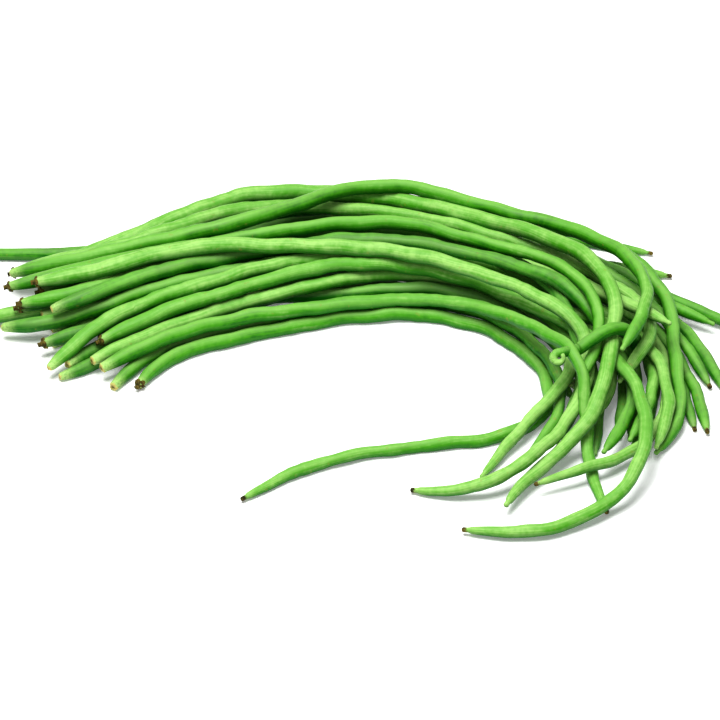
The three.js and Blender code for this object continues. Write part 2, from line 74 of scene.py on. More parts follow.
def steps_from(start, count, edges):
    """Steps along edges from one corner to each other: the front moves on one edge a round."""
    steps = np.full(count, -1)
    steps[start] = 0
    front = 0
    both_ways = np.vstack([edges, edges[:, ::-1]])
    while (steps < 0).any():
        reached = both_ways[steps[both_ways[:, 0]] == front, 1]
        steps[reached[steps[reached] < 0]] = front + 1
        front += 1
    return steps


# %% Read the rings of a pod's solid
def read_rings(node):
    """A pod's centre line and its full radius in mm, from the stalk's end to the nib.

    A ring's middle is the mean of its six corners, and its radius their mean distance from it. The
    stalk's end ring is the wider of the two end rings."""
    corners, edges = joined_corners(node)
    far = steps_from(0, len(corners), edges).argmax()
    steps = steps_from(far, len(corners), edges)
    rings = corners[steps.argsort(kind="stable")][1:-1].reshape(-1, SIDES, 3)
    middles = rings.mean(axis=1)
    radii = np.linalg.norm(rings - middles[:, None], axis=2).mean(axis=1)
    ends = corners[[steps.argmin(), steps.argmax()]]
    line = np.vstack([ends[:1], middles, ends[1:]])
    if radii[0] < radii[-1]:
        line = line[::-1]
    return line / MM, radii.max() / MM


pods = {name: read_rings(name) for name in sorted(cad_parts)}
print("pods:", len(pods), "thickest, mm:", round(2 * max(full for _, full in pods.values()), 1))

# %% [markdown]
# ## A smooth centre line
#
# The rings stand about 14 mm apart. A pod is supple and never kinks, so a smooth curve is run
# through their middles. Blender's own curves could do it, but an array of points can be measured
# and moved at will. Sections are then set along it, close together at both ends where the shape
# changes quickly, and wider apart in between.

# %% Curves along a pod
CURVE_STEPS = 24
FIRST_SECTION = 0.05
STALK_ZONE, TIP_ZONE = 14.0, 12.0
END_STEP, BODY_STEP = 0.4, 1.6


def curve_through(points):
    """Smooth curve through points, and the distance along it at each of its points.

    Between two points it is the cubic that passes through both, with a slope at each that is
    half the step from the point before to the point after."""
    padded = np.vstack([2 * points[0] - points[1], points, 2 * points[-1] - points[-2]])
    t = np.linspace(0, 1, CURVE_STEPS, endpoint=False)[None, :, None]
    a, b, c, d = (padded[k : len(padded) - 3 + k][:, None] for k in range(4))
    square = 2 * a - 5 * b + 4 * c - d
    cube = 3 * b - a - 3 * c + d
    curve = 0.5 * (2 * b + (c - a) * t + square * t**2 + cube * t**3)
    curve = np.vstack([curve.reshape(-1, 3), points[-1:]])
    steps = np.linalg.norm(np.diff(curve, axis=0), axis=1)
    return curve, np.concatenate([[0], np.cumsum(steps)])


def sections(length):
    """Distances of the sections from the stalk end, in mm: fine at the ends, wider between."""
    between = int((length - (STALK_ZONE + TIP_ZONE)) / BODY_STEP)
    at_stalk = np.arange(FIRST_SECTION, STALK_ZONE, END_STEP)
    body = np.linspace(STALK_ZONE, length - TIP_ZONE, between)
    at_tip = length - np.arange(FIRST_SECTION, TIP_ZONE, END_STEP)[::-1]
    return np.concatenate([at_stalk, body[1:], at_tip])


def level_frames(curve, distance, at):
    """Points of a curve at given distances, with unit vectors along, across and over it.

    Along is the slope, across is level, and over is square to both, so nothing twists."""
    slope = np.gradient(curve, distance, axis=0)
    pick = lambda values: np.column_stack([np.interp(at, distance, values[:, k]) for k in range(3)])
    along = pick(slope)
    along /= np.linalg.norm(along, axis=1)[:, None]
    across = np.cross(along, [0.0, 0.0, 1.0])
    across /= np.linalg.norm(across, axis=1)[:, None]
    return pick(curve), along, across, np.cross(across, along)


lengths = [curve_through(points)[1][-1] for points, _ in pods.values()]
print("pods are", round(min(lengths)), "to", round(max(lengths)), "mm long")

# %% [markdown]
# ## Steps, humps and waves
#
# Nothing on a pod starts or stops sharply. Three small functions of the distance along it are
# enough for all its changes: a smooth step, a bell and a sum of slow waves. Noise could replace
# the waves, but their lengths in millimetres are easier to set against the real pod.

# %% Steps, humps and waves
def rise(x, low, high):
    """Smooth step: 0 up to low, 1 from high on, with level ends."""
    t = np.clip((x - low) / (high - low), 0, 1)
    return t * t * (3 - 2 * t)


def hump(x, centre, width):
    """A smooth hump of height 1: a bell curve round centre."""
    return np.exp(-(((x - centre) / width) ** 2))


def rounded_end(x):
    """A quarter ellipse: 0 at 0, steep at first, level 1 from 1 on."""
    return np.sqrt(np.clip(1 - (1 - np.clip(x, 0, 1)) ** 2, 0, 1))


def along_body(at, length, from_stalk, from_tip):
    """1 along the body, and a smooth fall to 0 over a stretch of mm at each end."""
    return rise(at, *from_stalk) * rise(length - at, *from_tip)


def slow_waves(distance, lengths, rng):
    """A sum of sine waves of the given lengths in mm, each with a random start and size."""
    starts = rng.uniform(0, 2 * np.pi, len(lengths))
    sizes = rng.uniform(0.5, 1.0, len(lengths))
    turns = 2 * np.pi * distance[:, None] / np.array(lengths)
    return (np.sin(turns + starts) * sizes).sum(axis=1) / sizes.sum()


print("half way up a step:", float(rise(5.0, 0, 10)))

# %% [markdown]
# ## How the stalk ends look
#
# Some pods still have the dry cup of the flower round a short stub of the stalk. Some were
# snapped off and show a flat end that has dried at its rim. Some end in a plain pale shoulder.
# All could have the same end, but the row of different ends is what the eye meets first at the
# left. The kind is set for the pods whose ends show, and drawn by chance for the rest.

# %% Kinds of stalk end
CUP, SNAPPED, PLAIN = "cup", "snapped", "plain"
END_KINDS = {
    "bean_pale_top": CUP,
    "bean_brown_stub": CUP,
    "bean_long_hook": CUP,
    "bean_front_inner": CUP,
    "bean_shoulder_row": CUP,
    "bean_dark_row": CUP,
    "bean_under_low_end": SNAPPED,
    "bean_front_ridge": SNAPPED,
    "bean_front_third": SNAPPED,
    "bean_front_floor": SNAPPED,
    "bean_inner_middle": SNAPPED,
    "bean_blunt_end": PLAIN,
    "bean_left_reacher": PLAIN,
    "bean_pale_low_end": PLAIN,
    "bean_inner_front": PLAIN,
    "bean_crossing": PLAIN,
    "tie_bean": PLAIN,
}
# Where the flesh starts, its share of the full radius there, and how soon it closes.
FLESH_START = {CUP: 2.6, SNAPPED: 0.3, PLAIN: 0.0}
FLESH_SHARE = {CUP: 0.50, SNAPPED: 0.58, PLAIN: 0.44}
FLESH_CLOSING = {CUP: 0.45, SNAPPED: 0.45, PLAIN: 2.2}
print("stalk ends set:", len(END_KINDS), "drawn:", len(pods) - len(END_KINDS))

# %% [markdown]
# ## How thick a pod is
#
# The stalk end widens quickly to the full pod, the body slims evenly, and the last few
# centimetres taper to a nib. It could be a stretched cylinder with two cones, but the change from
# one to the next would show as a ring. One function of the distance from the stalk keeps it
# smooth.

# %% Pod profile
STUB_RADIUS = 1.15
STUB_RIM, STUB_RIM_PLACE, STUB_RIM_WIDTH = 0.25, 0.5, 0.6
STUB_CLOSING = 0.3
SHOULDER_LEAD, SHOULDER = 1.0, 21.0
SLIMMING = 0.2
# The pods whose whole tip shows taper over a longer stretch than the others.
LONG_TAPER, SHORT_TAPER = 28.0, 12.0
TAPER_POWER = 0.6
LONG_TIPS = (
    "bean_front_inner",
    "bean_front_floor",
    "bean_front_third",
    "bean_front_ridge",
    "bean_long_hook",
    "bean_pale_top",
    "bean_outline_high",
    "bean_under_hook",
    "tie_bean",
)
TIP_SHARE = 0.5
NIB = 4.5
NIB_SHARE = 0.80
NIB_STEP = (NIB - 1.5, NIB + 1.0)
NIB_CLOSING = 1.0
LEAST_RADIUS = 0.03


def pod_radius(distance, length, full, kind, taper_length):
    """Radius in mm at distances from the stalk end.

    The flesh starts at its share of the full radius and rises by the square root of a smooth
    step. The body slims evenly. The taper falls as a power of the distance to the nib. The nib is
    narrower again and closes as a quarter ellipse, and in front of the flesh there is the stub."""
    start, share = FLESH_START[kind], FLESH_SHARE[kind]
    shoulder = rise(distance, start - SHOULDER_LEAD, start + SHOULDER)
    flesh = share + (1 - share) * np.sqrt(shoulder)
    flesh = flesh * rounded_end((distance - start) / FLESH_CLOSING[kind])
    body = full * (1 - SLIMMING * distance / length)
    stub = STUB_RADIUS + STUB_RIM * hump(distance, STUB_RIM_PLACE, STUB_RIM_WIDTH)
    stub = stub * (kind == CUP) * np.sqrt(np.clip(distance / STUB_CLOSING, 0, 1))
    to_tip = length - distance
    to_nib = np.clip((to_tip - NIB) / taper_length, 0, 1)
    taper = TIP_SHARE + (1 - TIP_SHARE) * to_nib**TAPER_POWER
    nib = NIB_SHARE + (1 - NIB_SHARE) * rise(to_tip, *NIB_STEP)
    nib = nib * rounded_end(to_tip / NIB_CLOSING)
    return np.maximum(np.maximum(body * flesh, stub) * np.minimum(taper * nib, 1), LEAST_RADIUS)


sample = pod_radius(np.array([1.0, 5.0, 100.0, 380.0, 395.0]), 400.0, 4.25, CUP, LONG_TAPER)
print("radius from stalk to nib, mm:", np.round(sample, 2).tolist())

# %% [markdown]
# ## Seeds, seams and knuckles
#
# A yardlong bean is a slim tube, a little flatter from seam to seam. Its seeds sit 10 to 14 mm
# apart and lift the skin gently over each one, a fine ridge runs along both seams, and the pod
# swells and thins slowly as it goes. A texture could fake the bulges, but not on the outline, so
# all of it is in the surface itself.

# %% Relief of a pod
AROUND = 24
SEED_PITCH = 12.5
SEED_LIFT = 0.05
SEED_ZONE = (15, 40), (12, 36)
SEED_BASE = 0.35
SEAM_LIFT, SEAM_WIDTH = 0.02, 0.10
FLATNESS = 0.05
SEAM_ZONE = (5, 25), (8, 35)
CALM_ENDS = (6, 40), (6, 40)
THICKNESS_WAVES, THICKNESS_DRIFT = (24.0, 41.0, 67.0, 121.0), 0.09
TWIST_WAVES, TWIST = (190.0, 310.0), 0.9
STALK_RAGGED = 2.2


def seed_lift(distance, length, rng):
    """Lift of the skin over the seeds, between about -1 and 1, fading at both ends.

    It is a cosine whose pitch drifts along the pod, and each seed's size is its own."""
    drift = slow_waves(distance, (71.0, 133.0), rng) * 0.8
    size = 0.7 + 0.5 * slow_waves(distance, (23.0, 41.0, 67.0), rng)
    lift = np.cos(2 * np.pi * (distance / SEED_PITCH + drift))
    return lift * size * along_body(distance, length, *SEED_ZONE)


def relief(at, length, rng):
    """Factor on the radius at every section and angle, and the values of the surface's pattern.

    The factor is one, plus a slow drift, the seeds' lift on the broad sides, the seams' ridges
    and a ragged stalk end, less the flatness. Seams are where the cosine of the angle from the
    seam is 1 or -1, and the broad sides are where its sine is."""
    seeds = seed_lift(at, length, rng)[:, None]
    drift = slow_waves(at, THICKNESS_WAVES, rng) * along_body(at, length, *CALM_ENDS)
    twist = rng.uniform(0, 2 * np.pi) + TWIST * slow_waves(at, TWIST_WAVES, rng)
    v = np.arange(AROUND) * 2 * np.pi / AROUND
    from_seam = v[None, :] - twist[:, None]
    broad = np.sin(from_seam) ** 2
    seed = seeds * (SEED_BASE + (1 - SEED_BASE) * broad)
    seam = hump(np.abs(np.cos(from_seam)), 1.0, SEAM_WIDTH)
    body = along_body(at, length, *SEAM_ZONE)[:, None]
    uneven = rng.uniform(0, 2 * np.pi, 2)
    ragged = np.cos(3 * v + uneven[0]) * 0.10 + np.cos(5 * v + uneven[1]) * 0.08
    factor = 1 + drift[:, None] * THICKNESS_DRIFT + SEED_LIFT * seed
    factor = factor + body * (SEAM_LIFT * seam - FLATNESS * (broad - 0.5))
    factor = factor + ragged[None, :] * hump(at, 0, STALK_RAGGED)[:, None]
    return factor, {"seed": seed, "seam": seam * body, "turn": (from_seam / (2 * np.pi)) % 1.0}


pattern = relief(sections(400.0), 400.0, np.random.default_rng(0))[0]
print("relief, share of the radius:", round(pattern.min(), 2), "to", round(pattern.max(), 2))

# %% [markdown]
# ## Sweeping a pod
#
# A pod is never as straight as its solid's steps: it wanders a little to the side and up and down.
# A profile carried along a path could be a Blender curve with a bevel, but that can't swell, and
# it can't say how far along the pod a point is. So the skin is a grid: one row a section, one
# column an angle, and each point also keeps the values that the material reads.

# %% Sweep a pod
SIDE_WAVES, SIDE_WANDER = (26.0, 43.0, 94.0), 0.9
HEIGHT_WAVES, HEIGHT_WANDER = (29.0, 51.0, 88.0), 0.5


def wandering(line, across, over, at, sway, rng):
    """The centre line, moved across and over by slow waves of the given sway."""
    line = line + across * (slow_waves(at, SIDE_WAVES, rng) * sway * SIDE_WANDER)[:, None]
    return line + over * (slow_waves(at, HEIGHT_WAVES, rng) * sway * HEIGHT_WANDER)[:, None]


def sweep_pod(points, full, kind, taper_length, wander, rng):
    """Grid of a pod's skin in mm, (sections, AROUND, 3), and the values that its material reads.

    Every point is line + radius * (cos v * across + sin v * over). The radius is the profile
    times the relief. What would be under the table is pressed flat on it."""
    curve, distance = curve_through(points)
    length = distance[-1]
    at = sections(length)
    line, _, across, over = level_frames(curve, distance, at)
    line = wandering(line, across, over, at, along_body(at, length, *CALM_ENDS) * wander, rng)
    factor, values = relief(at, length, rng)
    radius = pod_radius(at, length, full, kind, taper_length)[:, None] * factor
    v = np.arange(AROUND) * 2 * np.pi / AROUND
    wheel = np.cos(v)[None, :, None] * across[:, None] + np.sin(v)[None, :, None] * over[:, None]
    skin = line[:, None, :] + radius[:, :, None] * wheel
    skin[..., 2] = np.maximum(skin[..., 2], 0)
    grid = np.ones(skin.shape[:2])
    values["from_stem"] = grid * at[:, None]
    values["to_tip"] = grid * (length - at)[:, None]
    values["dry"] = grid * (at < FLESH_START[kind])[:, None]
    # How far the skin faces down, 0 on top and 1 below: the material paints shade and a highlight
    # by it.
    values["low"] = grid * (0.5 - 0.5 * np.sin(v))
    return skin, values


def tube_faces(rows, columns):
    """Quads of a tube that closes round its columns, and a fan of triangles at each end."""
    r, c = np.meshgrid(np.arange(rows - 1), np.arange(columns), indexing="ij")
    here, below = r * columns, (r + 1) * columns
    after = (c + 1) % columns
    quads = np.stack([here + c, below + c, below + after, here + after], axis=-1).reshape(-1, 4)
    k = np.arange(columns)
    following = (k + 1) % columns
    first, last = rows * columns, rows * columns + 1
    base = (rows - 1) * columns
    start_fan = np.stack([np.full(columns, first), k, following], axis=-1)
    end_fan = np.stack([np.full(columns, last), base + following, base + k], axis=-1)
    return quads.tolist() + start_fan.tolist() + end_fan.tolist()


print("faces of a pod of 400 mm:", len(tube_faces(len(sections(400.0)), AROUND)))

# %% [markdown]
# ## The dry cup
#
# The flower's cup stays on the pod as a thin brown collar whose five teeth lie on the shoulder.
# It could be painted on, but its ragged edge casts small shadows, so it is a thin shell of its
# own: it runs out along the pod to the tips of the teeth and comes back just under the skin.

# %% Dry cup
CUP_AROUND = 30
CUP_START, CUP_REACH = 1.4, 3.4
CUP_TABLE_GAP = 0.02
TEETH = 5
TOOTH_LENGTH, TOOTH_POWER, LEAST_TOOTH = 2.0, 0.7, 0.3
FLARE = 0.25
# Rows of the shell: how far out they lie, and how high over the pod's skin.
CUP_OUT = np.linspace(0, 1, 7)
CUP_BACK = np.linspace(1, 0.3, 3)
CUP_ROWS = np.concatenate([CUP_OUT, CUP_BACK])[:, None]
CUP_HEIGHT = np.concatenate([0.15 + 0.45 * CUP_OUT**2, [-0.05, -0.25, -0.4]])[:, None]
CUP_FLARE = np.concatenate([CUP_OUT, CUP_BACK * 0])[:, None] * FLARE


def dry_cup(points, full, rng):
    """Grid of the cup in mm, (rows, CUP_AROUND, 3), closed in both directions.

    The outer rows run from the collar's start to each tooth's tip, at the pod's radius and a
    little over it. A tooth's length is |sin(2.5 v)| to the power 0.7, with a random share. The
    inner rows come back under the skin."""
    curve, distance = curve_through(points)
    v = np.arange(CUP_AROUND) * 2 * np.pi / CUP_AROUND
    tooth = (np.arange(CUP_AROUND) * TEETH // CUP_AROUND) % TEETH
    share = rng.uniform(LEAST_TOOTH, 1.0, TEETH)[tooth]
    teeth = np.abs(np.sin(TEETH * v / 2)) ** TOOTH_POWER * TOOTH_LENGTH * share
    at = CUP_START + (CUP_REACH + teeth[None, :] - CUP_START) * CUP_ROWS
    skin = pod_radius(at, distance[-1], full, CUP, SHORT_TAPER)
    flare = np.cos(3 * v + rng.uniform(0, 6))[None, :] * CUP_FLARE
    radius = np.maximum(skin, STUB_RADIUS) + CUP_HEIGHT + np.abs(flare)
    line, _, across, over = level_frames(curve, distance, at.ravel())
    line, across, over = (values.reshape(at.shape + (3,)) for values in (line, across, over))
    wheel = np.cos(v)[None, :, None] * across + np.sin(v)[None, :, None] * over
    cup = line + radius[..., None] * wheel
    cup[..., 2] = np.maximum(cup[..., 2], CUP_TABLE_GAP)
    return cup


def ring_faces(rows, columns):
    """Quads of a grid that closes in both directions."""
    r, c = np.meshgrid(np.arange(rows), np.arange(columns), indexing="ij")
    here, below = r * columns, ((r + 1) % rows) * columns
    after = (c + 1) % columns
    quads = np.stack([here + c, below + c, below + after, here + after], axis=-1)
    return quads.reshape(-1, 4).tolist()


print("faces of a cup:", len(ring_faces(len(CUP_ROWS), CUP_AROUND)))

# %% [markdown]
# ## The tie's curled tip
#
# The pod that ties the bunch ends in a thin tip that has curled into a small ring on the left of
# the throat. The curl could be a ring of its own, but it would have to be joined to the tip, so
# it continues the tie's centre line and is the same swept surface.

# %% Curl
TILT = math.radians(38)
SIGHT = np.array([0, math.cos(TILT), -math.sin(TILT)])
CURL_RADIUS = 2.6
CURL_TURN = 1.8 * math.pi
CURL_RISE = 3.0
CURL_POINTS = 12
CURL_START = np.array([-11.0, -7.0, 3.0])
BEFORE_CURL = CURL_START * 0.55 - SIGHT * 1.2


def curled(points):
    """The line with a curl after its end.

    It first crosses the pod beside it, towards the left and the viewer. The curl is a circle that
    faces the viewer: it runs down on the left and comes up again on the right."""
    left = np.array([-1.0, 0.0, 0.0])
    down = np.cross(left, SIGHT)
    down *= -np.sign(down[2])
    angle = np.linspace(0, CURL_TURN, CURL_POINTS)[:, None]
    ring = CURL_RADIUS * (np.sin(angle) * left + (1 - np.cos(angle)) * down)
    curl = CURL_START + ring - SIGHT * CURL_RISE * angle / CURL_TURN
    return np.vstack([points, points[-1] + BEFORE_CURL, points[-1] + curl])


print("turn of the curl, degrees:", round(math.degrees(CURL_TURN)))

# %% [markdown]
# ## The colour of each pod
#
# Pods of one bunch differ: most are fresh yellow green, some deeper, and a few are pale and a
# little dry. Each could have a material of its own, but one number a pod, its tone, carries that:
# 0 is deep green and 1 is pale. Only some pods still have the dry nib. On the others it has
# rubbed off and the blunt tip is green.

# %% Tones
TONES = {
    "bean_pale_top": 0.85,
    "bean_front_ridge": 0.50,
    "bean_under_hook": 0.80,
    "bean_pale_low_end": 0.65,
    "bean_under_low_end": 0.80,
    "bean_front_third": 0.75,
    "bean_front_inner": 0.50,
    "bean_front_floor": 0.30,
    "bean_long_hook": 0.60,
    "bean_outline_high": 0.70,
    "bean_diving": 0.75,
    "bean_crossing": 0.45,
    "bean_far_left": 0.30,
    "bean_inner_front": 0.15,
    "bean_dark_row": 0.12,
    "bean_dark_low": 0.10,
    "bean_blunt_right": 0.80,
    "bean_right_edge_dark": 0.08,
    "bean_right_tip_a": 0.10,
    "bean_right_tip_b": 0.15,
    "bean_right_tip_c": 0.20,
    "bean_right_tip_d": 0.15,
    "tie_bean": 0.10,
}
DRY_NIBS = (
    "bean_front_inner",
    "bean_pale_top",
    "bean_long_hook",
    "bean_under_hook",
    "bean_front_ridge",
    "bean_far_left",
    "bean_back_nib",
    "bean_right_edge_dark",
    "bean_right_tip_a",
    "bean_right_tip_b",
    "bean_right_tip_c",
    "bean_right_tip_d",
)
# The tie's curl is paler than the rest of it: by this much, from 26 to 12 mm before its end.
PALER_TIPS = {"tie_bean": 0.75}
PALER_FROM, PALER_TO = 26.0, 12.0


def tone_of(name, rng):
    """A pod's tone: set for those that stand out in the picture, otherwise drawn near 0.4."""
    drawn = float(np.clip(rng.normal(0.40, 0.16), 0.08, 0.8))
    return TONES.get(name, drawn)


print("tones set:", len(TONES), "drawn:", len(pods) - len(TONES), "dry nibs:", len(DRY_NIBS))

# %% [markdown]
# ## From a grid to a mesh
#
# The grids become one mesh a pod, skin and cup together, as they grew together. The cup could be
# an object of its own, but then it could be moved off its pod. The values that were worked out
# with the surface are stored at its points, where the material finds them.

# %% Build a pod
# On the cup the distance to the tip is set to this, far from any nib.
FAR_FROM_TIP = 400


def put_in_scene(name, points, faces, values):
    """A mesh object in metres from points in mm, with smooth faces and one value a point."""
    mesh = bpy.data.meshes.new(name)
    mesh.from_pydata((points * MM).tolist(), [], faces)
    mesh.polygons.foreach_set("use_smooth", np.ones(len(mesh.polygons), bool))
    for key, column in values.items():
        layer = mesh.attributes.new(key, "FLOAT", "POINT")
        layer.data.foreach_set("value", column.astype(np.float32))
    mesh.update()
    piece = bpy.data.objects.new(name, mesh)
    bpy.context.scene.collection.objects.link(piece)
    return piece


def with_cup(corners, faces, columns, cup):
    """A pod's corners, faces and values with those of its cup added after them."""
    faces = faces + (np.array(ring_faces(len(cup), CUP_AROUND)) + len(corners)).tolist()
    corners = np.vstack([corners, cup.reshape(-1, 3)])
    extra = np.zeros(len(cup) * CUP_AROUND)
    columns = {key: np.concatenate([column, extra]) for key, column in columns.items()}
    columns["dry"][-len(extra) :] = 1
    columns["to_tip"][-len(extra) :] = FAR_FROM_TIP
    return corners, faces, columns


def build_pod(name, points, full, kind, taper_length, wander, tone, rng):
    """Skin and, where the pod has one, its dry cup, as one mesh."""
    skin, values = sweep_pod(points, full, kind, taper_length, wander, rng)
    ends = np.array([skin[0].mean(axis=0), skin[-1].mean(axis=0)])
    corners = np.vstack([skin.reshape(-1, 3), ends])
    faces = tube_faces(len(skin), AROUND)
    columns = {key: np.concatenate([v.ravel(), v[0, :1], v[-1, :1]]) for key, v in values.items()}
    if kind == CUP:
        corners, faces, columns = with_cup(corners, faces, columns, dry_cup(points, full, rng))
    if name not in DRY_NIBS:
        columns["to_tip"] += NIB
    paler = rise(-columns["to_tip"], -PALER_FROM, -PALER_TO) * PALER_TIPS.get(name, 0.0)
    columns["tone"] = tone + paler
    return put_in_scene(f"{name}_skin", corners, faces, columns)


# %% [markdown]
# ## Short forms for nodes
#
# A material's nodes could be placed and joined one by one in the editor. Written as short calls,
# the recipe reads in the order in which the colours are laid on, and it is the same each run.

# %% Node helpers
def shade(hex_colour):
    """A colour written as #rrggbb, as the linear values that Blender's sockets take."""
    parts = [int(hex_colour[k : k + 2], 16) / 255 for k in (1, 3, 5)]
    linear = [c / 12.92 if c <= 0.04045 else ((c + 0.055) / 1.055) ** 2.4 for c in parts]
    return (*linear, 1.0)


class Recipe:
    """Short forms for adding the nodes of one material."""

    def __init__(self, name):
        self.material = bpy.data.materials.new(name)
        self.material.use_nodes = True
        self.tree = self.material.node_tree
        self.tree.nodes.clear()

    def add(self, kind, inputs=(), **settings):
        """A node of one kind, its settings, and its inputs as (socket, value or output) pairs."""
        node = self.tree.nodes.new(kind)
        for key, value in settings.items():
            setattr(node, key, value)
        for socket, value in inputs:
            self.put(node.inputs[socket], value)
        return node

    def put(self, socket, value):
        """Joins an output to a socket, or sets the socket's own value."""
        if isinstance(value, bpy.types.NodeSocket):
            self.tree.links.new(value, socket)
        else:
            socket.default_value = value

    def value(self, name):
        """A number stored with the surface."""
        return self.add("ShaderNodeAttribute", attribute_name=name).outputs["Fac"]

    def math(self, operation, *terms):
        """One arithmetic step."""
        return self.add("ShaderNodeMath", enumerate(terms), operation=operation).outputs[0]

    def times(self, factor, share):
        """A product."""
        return self.math("MULTIPLY", factor, share)

    def total(self, *terms):
        """A sum of any number of terms."""
        result = terms[0]
        for term in terms[1:]:
            result = self.math("ADD", result, term)
        return result

    def ramp(self, factor, low, high, start=0.0, end=1.0):
        """Maps low..high smoothly to start..end. Low may be above high."""
        if low > high:
            low, high, start, end = high, low, end, start
        names = ("Value", "From Min", "From Max", "To Min", "To Max")
        sockets = zip(names, (factor, low, high, start, end))
        ramp = self.add("ShaderNodeMapRange", sockets, interpolation_type="SMOOTHSTEP")
        return ramp.outputs["Result"]

    def mix(self, factor, one, two):
        """Mixes two colours."""
        node = self.add("ShaderNodeMix", [("Factor", factor)], data_type="RGBA")
        for socket, value in zip([s for s in node.inputs if s.type == "RGBA"], (one, two)):
            self.put(socket, value)
        return [s for s in node.outputs if s.type == "RGBA"][0]

    def point(self, x, y, z):
        """Three numbers as one place in a pattern."""
        return self.add("ShaderNodeCombineXYZ", [("X", x), ("Y", y), ("Z", z)]).outputs[0]

    def noise(self, vector, scale, detail=3.0):
        """Noise, mostly between 0.3 and 0.7."""
        sockets = [("Vector", vector), ("Scale", scale), ("Detail", detail)]
        return self.add("ShaderNodeTexNoise", sockets).outputs["Fac"]


print("mid grey as linear light:", round(shade("#808080")[0], 3))

# %% [markdown]
# ## Pod skin
#
# A pod's skin is a thin waxy layer over wet green flesh, so it is a satin surface that lets a
# little light in. A picture of a skin could be wrapped round it, but it would have seams. Its
# green is laid on in layers instead: from a deep one to a fresh and a light one by how pale the
# pod is there, painted shade on its low side and a painted highlight on its top, a pale neck,
# scars, and brown for what has dried. The layers follow the pod because they read the values
# that were stored with the surface.

# %% Colours of the skin
# Painted shade: the deep green laid on the side of each pod that faces down.
PAINTED_SHADE_GREEN = shade("#066203")
DEEP_GREEN = shade("#0d6505")
FRESH_GREEN = shade("#479c14")
LIGHT_GREEN = shade("#9fce70")
NECK_PALE = shade("#bfe088")
SNAPPED_FLESH = shade("#c9b569")
DRY_BROWN = shade("#6e5f26")
DARK_BROWN = shade("#26260f")
SCAR = shade("#8f8a3c")
# Scales of the noises, per metre on the place and per unit on what is stored with the surface.
GRAIN, MOTTLE, BROWN_PATCHES, DENTS, SCARS = 900.0, 330.0, 420.0, 260.0, 240.0
STREAK_STRETCH, STREAKS_ROUND = 0.03, 22.0
BLOTCH_STRETCH, BLOTCHES_ROUND = 0.035, 2.2
# Each pod's patterns start elsewhere, as far apart as its tone says.
STREAK_SHIFT, BLOTCH_SHIFT = 40.0, 90.0
# The spread that noise really has.
SPREAD = (0.3, 0.7)
print("deepest to lightest green:", [round(c[1], 2) for c in (PAINTED_SHADE_GREEN, FRESH_GREEN, LIGHT_GREEN)])

# %% Pod skin material
def skin_patterns(n, from_stem, turn, tone):
    """Streaks along the pod, and blotches that are alike on both sides of a seam."""
    stretched = n.times(from_stem, STREAK_STRETCH), n.times(turn, STREAKS_ROUND)
    streaks = n.noise(n.point(*stretched, n.times(tone, STREAK_SHIFT)), 1.0, 2.0)
    folded = n.times(n.math("PINGPONG", turn, 0.5), BLOTCHES_ROUND)
    stretched = n.times(from_stem, BLOTCH_STRETCH), folded
    blotches = n.noise(n.point(*stretched, n.times(tone, BLOTCH_SHIFT)), 1.0)
    return streaks, blotches


def skin_green(n, place, from_stem, to_tip, tone, streaks, blotches, grain):
    """The green of the fresh skin, one layer over the other, with painted shade on its low side
    and a painted highlight on its top.
    """
    low = n.value("low")
    lightness = n.total(
        n.ramp(tone, 0.0, 1.0, -0.25, 0.55),
        n.ramp(blotches, *SPREAD, 0.07, 0.40),
        n.ramp(streaks, 0.35, 0.65, -0.1, 0.12),
        n.times(n.value("seed"), 0.04),
        n.ramp(to_tip, 190.0, 50.0, 0.0, 0.13),
        n.ramp(n.noise(place, MOTTLE), *SPREAD, -0.09, 0.09),
    )
    neck = n.times(n.ramp(from_stem, 11.0, 1.0), n.ramp(grain, 0.3, 0.6, 0.35, 0.70))
    scars = n.ramp(n.noise(place, SCARS, 1.0), 0.71, 0.76)
    ragged_end = n.total(from_stem, n.ramp(grain, *SPREAD, -0.5, 0.5))
    layers = [
        (n.ramp(lightness, -0.1, 0.45), FRESH_GREEN),
        (n.ramp(lightness, 0.4, 1.1), LIGHT_GREEN),
        (n.times(n.value("seam"), 0.25), LIGHT_GREEN),
        # Painted shade: deep green on the side of the pod that faces down.
        (n.ramp(low, 0.18, 0.78, 0.0, 0.92), PAINTED_SHADE_GREEN),
        # Painted highlight: a lighter green on the side of the pod that faces up.
        (n.ramp(low, 0.32, 0.0, 0.0, 0.30), LIGHT_GREEN),
        (neck, NECK_PALE),
        (n.times(n.ramp(to_tip, 12.0, 4.0), 0.22), NECK_PALE),
        (n.times(scars, 0.3), SCAR),
        (n.times(n.ramp(ragged_end, 1.3, 0.5), 0.9), SNAPPED_FLESH),
    ]
    green = DEEP_GREEN
    for share, colour in layers:
        green = n.mix(share, green, colour)
    return green


